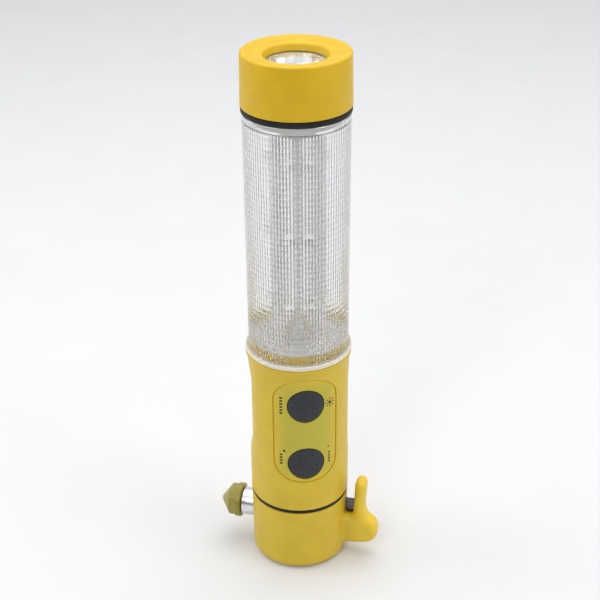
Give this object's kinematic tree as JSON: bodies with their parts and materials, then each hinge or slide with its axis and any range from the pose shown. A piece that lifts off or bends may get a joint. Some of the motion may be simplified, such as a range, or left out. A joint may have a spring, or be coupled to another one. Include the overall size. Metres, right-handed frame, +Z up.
{
  "type": "led safety flare",
  "caption": "Upright hand lamp with a clear ribbed signal tube, a torch head, push buttons, a side hammer with a soft cover and a hooked belt cutter.",
  "frame": {"origin": "centre of the flat foot that the flare stands on", "axes": "+Z up along the tube, +X towards the belt cutter, -X towards the hammer; the switch panel faces 67.5 degrees clockwise from +X seen from above"},
  "size_m": [0.0738, 0.045, 0.2333],
  "materials": {
    "shell_yellow": "moulded, satin gloss",
    "panel_yellow": "printed film, satin",
    "button_rubber": "matt",
    "seal_rubber": "satin",
    "soft_cover": "translucent soft plastic, glossy",
    "clear_tube": "clear moulded plastic with inner ribs",
    "clear_lens": "clear polished plastic",
    "reflector_chrome": "mirror, faceted",
    "hammer_steel": "turned and plated",
    "blade_steel": "ground edge",
    "spring_steel": "plated wire",
    "contact_brass": "plated",
    "white_plastic": "moulded",
    "black_plastic": "moulded",
    "circuit_board": "green solder mask",
    "white_board": "white solder mask",
    "led_clear": "clear resin over a pale yellow chip",
    "cell_wrap": "plain shrink wrap",
    "wire_red": "insulated wire",
    "wire_black": "insulated wire",
    "wire_white": "insulated wire"
  },
  "bodies": {
    "base": {"base_cap": "shell_yellow", "cutter_blade": "blade_steel", "hammer_shaft": "hammer_steel", "hammer_nut": "spring_steel", "battery_spring": "spring_steel"},
    "hammer_cover": {"hammer_tip_cover": "soft_cover"},
    "base_seal": {"base_seal": "seal_rubber"},
    "light_button": {"light_button": "button_rubber", "light_switch_plunger": "white_plastic"},
    "strobe_button": {"strobe_button": "button_rubber", "strobe_switch_plunger": "white_plastic"},
    "head_seal": {"head_seal": "seal_rubber"},
    "head": {"head_cap": "shell_yellow", "torch_reflector": "reflector_chrome", "torch_lens": "clear_lens"},
    "handle": {"handle_shell": "shell_yellow", "switch_overlay": "panel_yellow", "switch_board": "circuit_board", "controller_chip": "black_plastic", "board_screw_left": "spring_steel", "board_screw_right": "spring_steel", "light_switch": "black_plastic", "strobe_switch": "black_plastic", "battery_cartridge": "black_plastic", "battery_sleeve": "white_plastic", "battery_1": "cell_wrap", "battery_2": "cell_wrap", "battery_3": "cell_wrap", "battery_1_spring": "spring_steel", "battery_2_spring": "spring_steel", "battery_3_spring": "spring_steel", "contact_board": "circuit_board", "contact_ring": "contact_brass", "contact_spring": "contact_brass", "battery_wire_red": "wire_red", "battery_wire_black": "wire_black", "strobe_wire": "wire_white", "torch_wire": "wire_red", "strobe_tube": "clear_tube", "strobe_column": "white_plastic", "strobe_board_1": "white_board", "strobe_board_2": "white_board", "strobe_board_3": "white_board", "led_holder": "white_plastic", "led_board": "white_board", "torch_led": "led_clear", "strobe_led_1_1": "led_clear", "strobe_led_1_2": "led_clear", "strobe_led_1_3": "led_clear", "strobe_led_2_1": "led_clear", "strobe_led_2_2": "led_clear", "strobe_led_2_3": "led_clear", "strobe_led_3_1": "led_clear", "strobe_led_3_2": "led_clear", "strobe_led_3_3": "led_clear"}
  },
  "joints": [
    {"name": "handle_lift", "type": "slide", "parent": "base", "child": "base_seal", "axis": [0, 0, 1], "range_m": [0, 0.0056]},
    {"name": "handle_turn", "type": "hinge", "parent": "base_seal", "child": "handle", "pos_m": [0, 0, 0.032], "axis": [0, 0, 1], "range_deg": [0, 660]},
    {"name": "head_lift", "type": "slide", "parent": "handle", "child": "head_seal", "axis": [0, 0, 1], "range_m": [0, 0.0046]},
    {"name": "head_turn", "type": "hinge", "parent": "head_seal", "child": "head", "pos_m": [0, 0, 0.2108], "axis": [0, 0, 1], "range_deg": [0, 540]},
    {"name": "light_press", "type": "slide", "parent": "handle", "child": "light_button", "axis": [-0.3827, 0.9239, 0], "range_m": [0, 0.0008]},
    {"name": "strobe_press", "type": "slide", "parent": "handle", "child": "strobe_button", "axis": [-0.3827, 0.9239, 0], "range_m": [0, 0.0008]},
    {"name": "cover_pull", "type": "slide", "parent": "base", "child": "hammer_cover", "axis": [-1, 0, 0], "range_m": [0, 0.014]}
  ],
  "couplings": [
    {"joint": "handle_lift", "follows": "handle_turn", "m_per_rad": 0.00047746},
    {"joint": "head_lift", "follows": "head_turn", "m_per_rad": 0.00047746}
  ]
}
